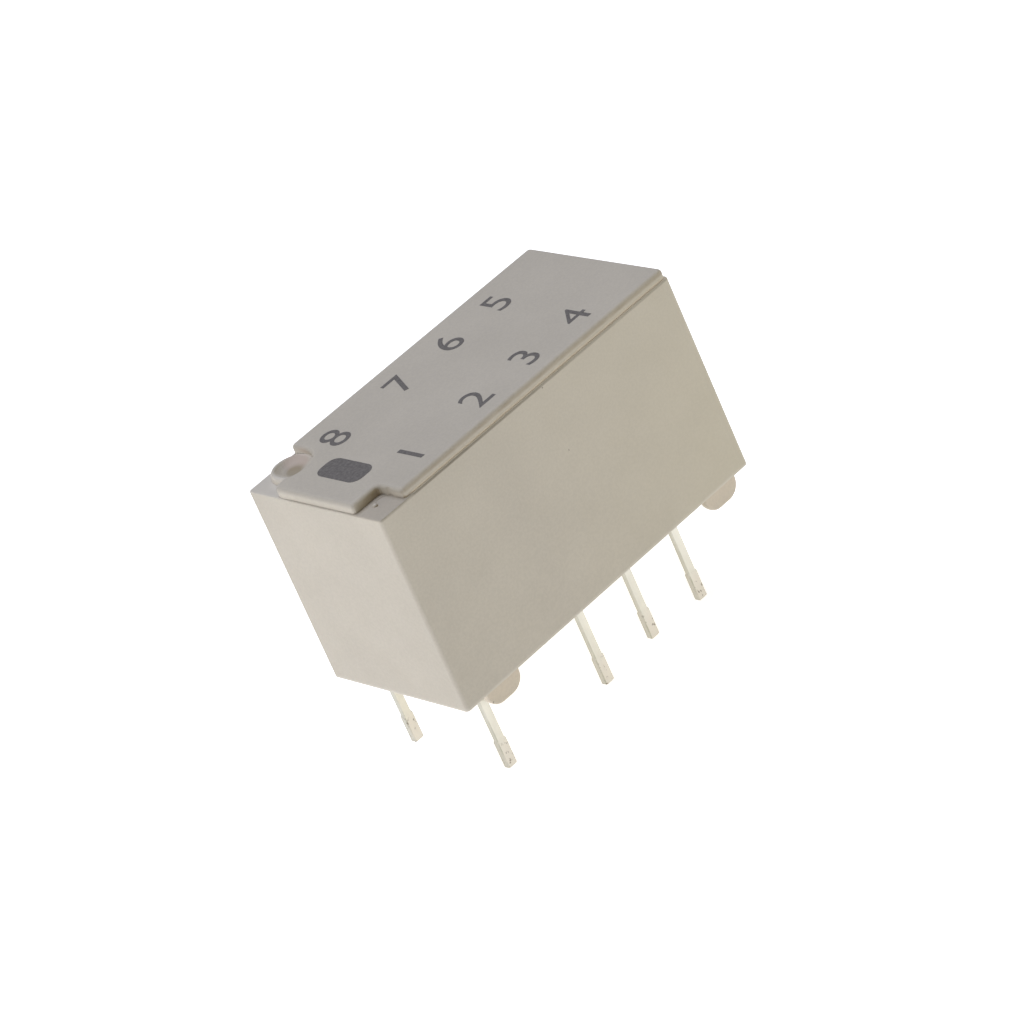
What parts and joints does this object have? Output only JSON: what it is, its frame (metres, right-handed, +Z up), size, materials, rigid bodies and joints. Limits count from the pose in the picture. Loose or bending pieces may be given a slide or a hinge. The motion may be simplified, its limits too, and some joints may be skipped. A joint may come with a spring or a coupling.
{
  "type": "electromagnetic relay",
  "caption": "Sealed through-hole signal relay in a beige moulded case, with a rocking armature that changes over two sets of contacts.",
  "frame": {"origin": "under the middle of the case, at the height of the contact pins' tips", "axes": "+X along the case, away from the coil pins; +Y across it, towards the vent; +Z up, out of the top panel"},
  "size_m": [0.0148, 0.0072, 0.0122],
  "materials": {
    "case_plastic": "fine matt moulded, beige grey",
    "base_plastic": "moulded, pinkish beige",
    "resin": "cast epoxy, glossy",
    "tinned_copper": "tinned copper alloy, solder specks near the tips",
    "black_plastic": "moulded",
    "magnet_wire": "enamelled copper wire",
    "soft_iron": "plated soft iron",
    "magnet": "sintered",
    "spring_copper": "rolled copper alloy",
    "silver_contact": "gold-clad silver alloy",
    "white_plastic": "moulded liquid crystal polymer"
  },
  "bodies": {
    "housing": {"case": "case_plastic", "base": "base_plastic", "seal_resin": "resin", "coil_pin_front": "tinned_copper", "coil_pin_back": "tinned_copper", "common_pin_front": "tinned_copper", "common_pin_back": "tinned_copper", "near_contact_pin_front": "tinned_copper", "near_contact_pin_back": "tinned_copper", "far_contact_pin_front": "tinned_copper", "far_contact_pin_back": "tinned_copper", "fixed_contact_front_near": "silver_contact", "fixed_contact_front_far": "silver_contact", "fixed_contact_back_near": "silver_contact", "fixed_contact_back_far": "silver_contact", "bobbin": "black_plastic", "iron_core": "soft_iron", "permanent_magnet": "magnet", "coil_winding_near": "magnet_wire", "coil_winding_far": "magnet_wire", "coil_lead_front": "magnet_wire", "coil_lead_back": "magnet_wire"},
    "armature": {"armature_plate": "soft_iron", "armature_block": "white_plastic", "spring_front": "spring_copper", "spring_back": "spring_copper", "moving_contact_front_near_inner": "silver_contact", "moving_contact_front_near_outer": "silver_contact", "moving_contact_front_far_inner": "silver_contact", "moving_contact_front_far_outer": "silver_contact", "moving_contact_back_near_inner": "silver_contact", "moving_contact_back_near_outer": "silver_contact", "moving_contact_back_far_inner": "silver_contact", "moving_contact_back_far_outer": "silver_contact"}
  },
  "joints": [
    {"name": "armature_rock", "type": "hinge", "parent": "housing", "child": "armature", "pos_m": [0.00152, 0, 0.00694], "axis": [0, 1, 0], "range_deg": [0, 4], "stiffness_Nm_per_rad": 0.0001, "springref_deg": -2.86}
  ]
}
